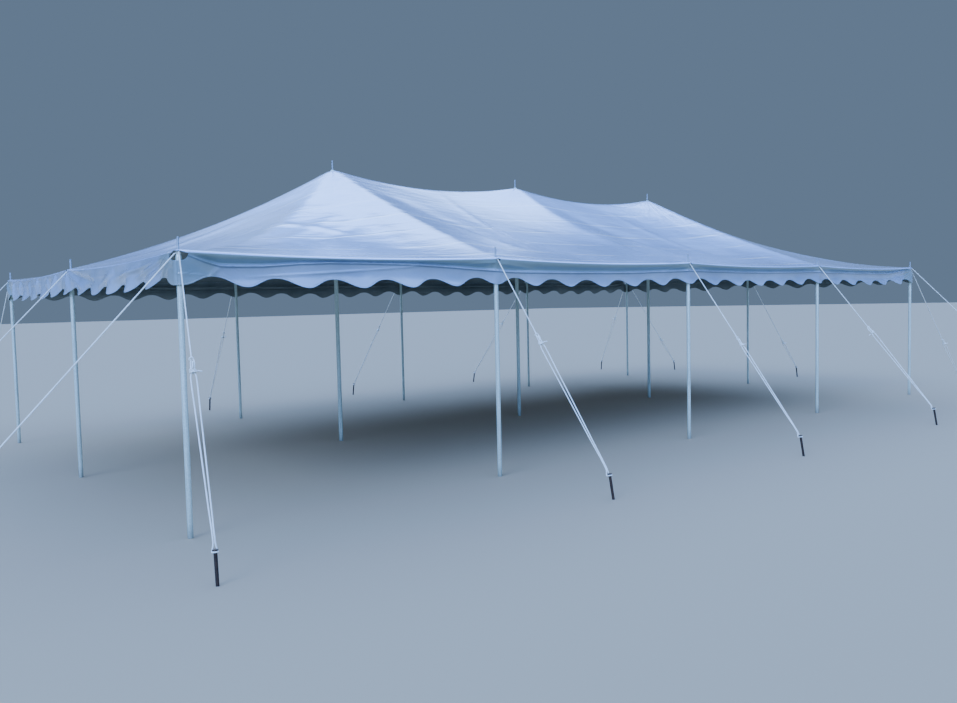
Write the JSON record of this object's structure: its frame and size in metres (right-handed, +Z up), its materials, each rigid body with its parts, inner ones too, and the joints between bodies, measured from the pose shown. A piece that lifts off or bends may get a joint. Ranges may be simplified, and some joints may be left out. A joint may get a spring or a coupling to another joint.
{
  "type": "rope and pole marquee tent",
  "caption": "Open-sided marquee tent: a white skin stretched over centre poles and side poles, with a scalloped valance, guy ropes and steel stakes.",
  "frame": {"origin": "on the ground under the middle centre pole, at the middle of the plan", "axes": "+X along the ridge, +Y from the front side to the back side, +Z up"},
  "size_m": [15.9164, 9.4404, 3.4983],
  "materials": {
    "vinyl": "white coated vinyl, softly glossy",
    "tube": "dull galvanised",
    "rope": "braided white polyester",
    "stake": "dark rust"
  },
  "bodies": {
    "root": {"centre_pole_1": "tube", "centre_pole_2": "tube", "centre_pole_3": "tube", "guy_rope_back_1_end": "rope", "guy_rope_back_1_side": "rope", "guy_rope_back_2": "rope", "guy_rope_back_3": "rope", "guy_rope_back_4": "rope", "guy_rope_back_5_end": "rope", "guy_rope_back_5_side": "rope", "guy_rope_front_1_end": "rope", "guy_rope_front_1_side": "rope", "guy_rope_front_2": "rope", "guy_rope_front_3": "rope", "guy_rope_front_4": "rope", "guy_rope_front_5_end": "rope", "guy_rope_front_5_side": "rope", "guy_rope_left_end_1": "rope", "guy_rope_right_end_1": "rope", "roof_skin": "vinyl", "side_pole_back_1": "tube", "side_pole_back_2": "tube", "side_pole_back_3": "tube", "side_pole_back_4": "tube", "side_pole_back_5": "tube", "side_pole_front_1": "tube", "side_pole_front_2": "tube", "side_pole_front_3": "tube", "side_pole_front_4": "tube", "side_pole_front_5": "tube", "side_pole_left_end_1": "tube", "side_pole_right_end_1": "tube", "stake_back_1_end": "stake", "stake_back_1_side": "stake", "stake_back_2": "stake", "stake_back_3": "stake", "stake_back_4": "stake", "stake_back_5_end": "stake", "stake_back_5_side": "stake", "stake_front_1_end": "stake", "stake_front_1_side": "stake", "stake_front_2": "stake", "stake_front_3": "stake", "stake_front_4": "stake", "stake_front_5_end": "stake", "stake_front_5_side": "stake", "stake_left_end_1": "stake", "stake_right_end_1": "stake", "valance_back": "vinyl", "valance_front": "vinyl", "valance_left": "vinyl", "valance_right": "vinyl"}
  },
  "joints": []
}
